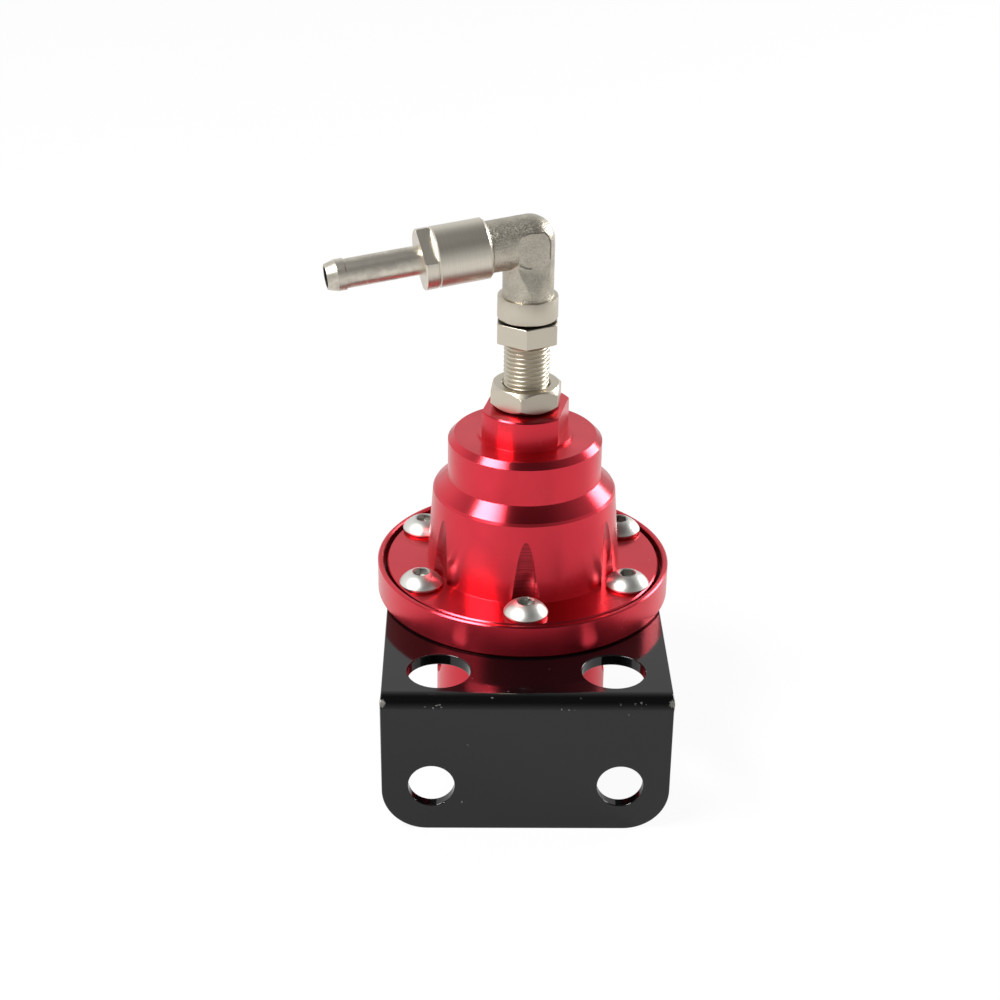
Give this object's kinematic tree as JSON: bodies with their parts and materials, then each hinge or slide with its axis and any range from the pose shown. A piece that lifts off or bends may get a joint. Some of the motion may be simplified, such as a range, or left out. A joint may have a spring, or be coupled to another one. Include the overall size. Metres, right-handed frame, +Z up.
{
  "type": "fuel pressure regulator",
  "caption": "Adjustable fuel pressure regulator: red anodised body and screwed bonnet on a black L bracket, with a threaded adjuster, lock nut and swivelling hose-barb elbow",
  "frame": {"origin": "middle of the return port's mouth in the bottom face, on the regulator's axis", "axes": "+Z runs up the regulator's axis to the elbow, the bracket's front plate faces -Y, and the side ports look along +X and -X"},
  "size_m": [0.0749, 0.0813, 0.1193],
  "materials": {
    "red_anodised": "satin red anodising",
    "stainless": "bright stainless",
    "black_rubber": "matte",
    "plain_aluminium": "turned",
    "zinc_steel": "zinc plated",
    "plain_brass": "turned",
    "spring_steel": "oiled wire",
    "nickel_brass": "nickel plated",
    "forged_nickel_brass": "forged and nickel plated",
    "black_paint": "gloss black, chipped at the bend"
  },
  "bodies": {
    "housing": {"lower_body": "red_anodised", "bonnet": "red_anodised", "bonnet_screws": "stainless", "diaphragm": "black_rubber", "valve_seat": "plain_brass", "seat_seal": "black_rubber", "main_spring": "spring_steel", "bracket": "black_paint", "bracket_screws": "stainless"},
    "valve": {"lower_plate": "plain_aluminium", "valve_ball": "zinc_steel", "upper_plate": "plain_aluminium", "plate_nut": "zinc_steel"},
    "spring_seat": {"spring_button": "plain_aluminium"},
    "adjuster": {"adjusting_screw": "nickel_brass", "swivel_seal": "black_rubber"},
    "swivel": {"elbow": "forged_nickel_brass", "swivel_clip": "spring_steel", "hose_nipple": "nickel_brass"},
    "nut_ring": {"lock_nut_seal": "black_rubber"},
    "nut": {"lock_nut": "nickel_brass"}
  },
  "joints": [
    {"name": "valve_lift", "type": "slide", "parent": "housing", "child": "valve", "axis": [0, 0, 1], "range_m": [0, 0.0012], "stiffness_N_per_m": 2000, "deforming": ["diaphragm"]},
    {"name": "adjust_slide", "type": "slide", "parent": "housing", "child": "spring_seat", "axis": [0, 0, 1], "range_m": [-0.007, 0.002], "deforming": ["main_spring"]},
    {"name": "adjust_turn", "type": "hinge", "parent": "spring_seat", "child": "adjuster", "pos_m": [0, 0, 0.0869], "axis": [0, 0, 1], "range_deg": [-2520, 720]},
    {"name": "elbow_swivel", "type": "hinge", "parent": "adjuster", "child": "swivel", "pos_m": [0, 0, 0.0968], "axis": [0, 0, 1], "continuous": true},
    {"name": "nut_slide", "type": "slide", "parent": "housing", "child": "nut_ring", "axis": [0, 0, 1], "range_m": [0, 0.002]},
    {"name": "nut_turn", "type": "hinge", "parent": "nut_ring", "child": "nut", "pos_m": [0, 0, 0.077], "axis": [0, 0, 1], "range_deg": [0, 720]}
  ],
  "couplings": [
    {"joint": "adjust_turn", "follows": "adjust_slide", "rad_per_m": 6283.2},
    {"joint": "nut_turn", "follows": "nut_slide", "rad_per_m": 6283.2}
  ]
}
